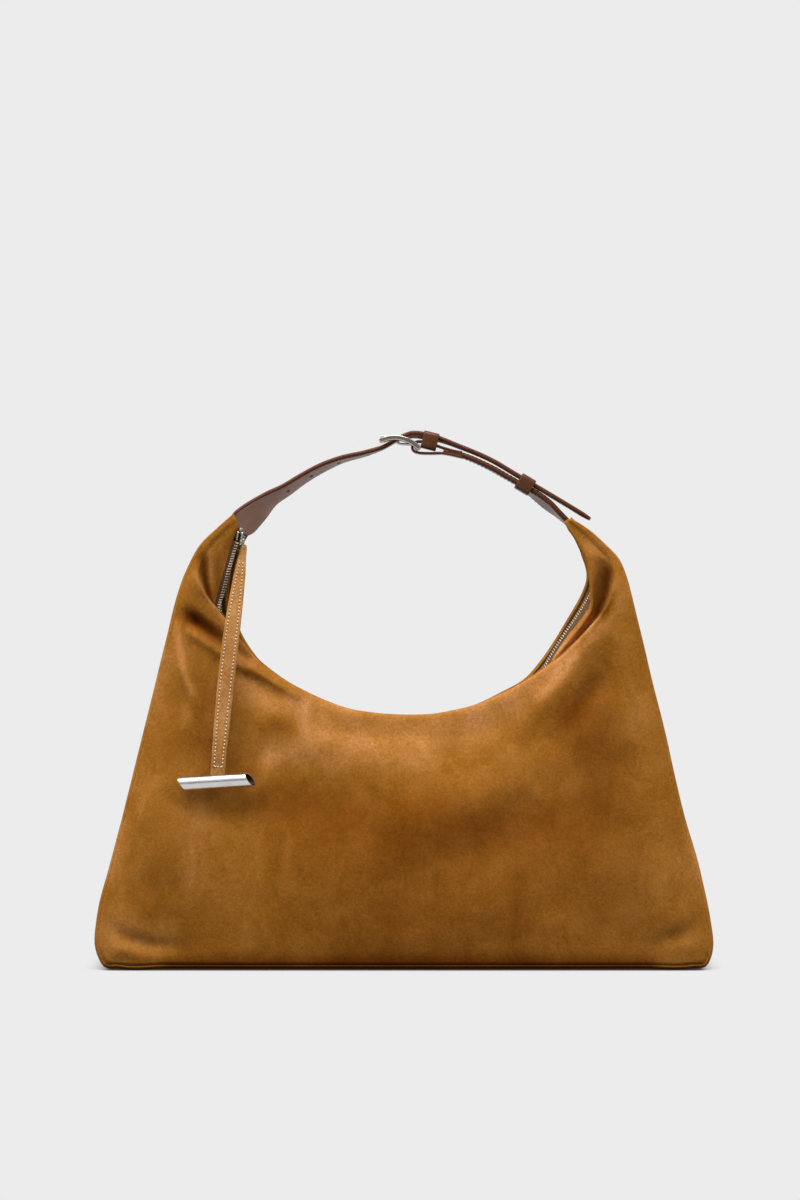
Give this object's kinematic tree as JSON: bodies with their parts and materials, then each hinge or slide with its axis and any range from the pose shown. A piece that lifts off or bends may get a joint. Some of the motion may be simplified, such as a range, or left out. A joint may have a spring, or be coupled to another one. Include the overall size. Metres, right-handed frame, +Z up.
{
  "type": "hobo bag",
  "caption": "Slouched suede hobo bag with an open zip mouth between two horns, a buckled leather shoulder strap and a long suede zip pull ending in a metal bar.",
  "frame": {"origin": "on the floor under the middle of the base", "axes": "+Z up, +X to the right seen from the front, -Y towards the front"},
  "size_m": [0.48, 0.1183, 0.4192],
  "materials": {
    "suede": "napped suede, tan",
    "smooth_leather": "smooth brown leather with a light sheen",
    "lining": "plain woven lining",
    "zip_tape": "woven tape",
    "zip_metal": "polished nickel",
    "polished_metal": "polished",
    "board": "stiff fibre board"
  },
  "bodies": {
    "bag": {"front_panel": "suede", "back_panel": "suede", "left_gusset": "suede", "right_gusset": "suede", "base_panel": "suede", "front_zip_facing": "suede", "back_zip_facing": "suede", "front_lining": "lining", "back_lining": "lining", "left_side_lining": "lining", "right_side_lining": "lining", "base_lining": "lining", "base_board": "board", "front_zip_tape": "zip_tape", "back_zip_tape": "zip_tape", "front_zip_teeth": "zip_metal", "back_zip_teeth": "zip_metal", "zip_stop": "zip_metal"},
    "handle": {"holed_strap": "smooth_leather", "doubled_strap": "smooth_leather", "fixed_keeper": "smooth_leather"},
    "slider": {"slider_body": "zip_metal"},
    "link": {"puller_link": "zip_metal"},
    "ring": {"pull_ring": "zip_metal"},
    "pull": {"pull_strap": "suede"},
    "t_bar": {"t_bar_tube": "polished_metal", "t_bar_pin": "polished_metal"},
    "frame": {"buckle_frame": "polished_metal"},
    "prong": {"buckle_prong": "polished_metal"},
    "loose_keeper": {"sliding_keeper": "smooth_leather"}
  },
  "joints": [
    {"name": "handle_fold", "type": "hinge", "parent": "bag", "child": "handle", "pos_m": [0, 0, 0.356], "axis": [1, 0, 0], "range_deg": [-80, 80]},
    {"name": "zip_travel", "type": "slide", "parent": "bag", "child": "slider", "axis": [-0.1736, 0, -0.9848], "range_m": [0, 0.016]},
    {"name": "pull_swing", "type": "hinge", "parent": "slider", "child": "link", "pos_m": [-0.12653, 0, 0.33408], "axis": [0, -1, 0], "range_deg": [-2, 12]},
    {"name": "pull_lift", "type": "hinge", "parent": "link", "child": "ring", "pos_m": [-0.12653, 0, 0.32758], "axis": [-1, 0, 0], "range_deg": [0, 20]},
    {"name": "strap_lift", "type": "hinge", "parent": "ring", "child": "pull", "pos_m": [-0.12653, 0, 0.32388], "axis": [-1, 0, 0], "range_deg": [0, 80]},
    {"name": "bar_rock", "type": "hinge", "parent": "pull", "child": "t_bar", "pos_m": [-0.14465, -0.05456, 0.14541], "axis": [0.998, 0, 0.0628], "range_deg": [-15, 15]},
    {"name": "keeper_slide", "type": "slide", "parent": "handle", "child": "loose_keeper", "axis": [0.8554, 0, -0.518], "range_m": [-0.006, 0.006]},
    {"name": "buckle_tilt", "type": "hinge", "parent": "handle", "child": "frame", "pos_m": [0.0108, 0, 0.4064], "axis": [0, 1, 0], "range_deg": [0, 4]},
    {"name": "prong_pivot", "type": "hinge", "parent": "frame", "child": "prong", "pos_m": [0.0108, 0, 0.4064], "axis": [0, 1, 0], "range_deg": [0, 5]}
  ]
}
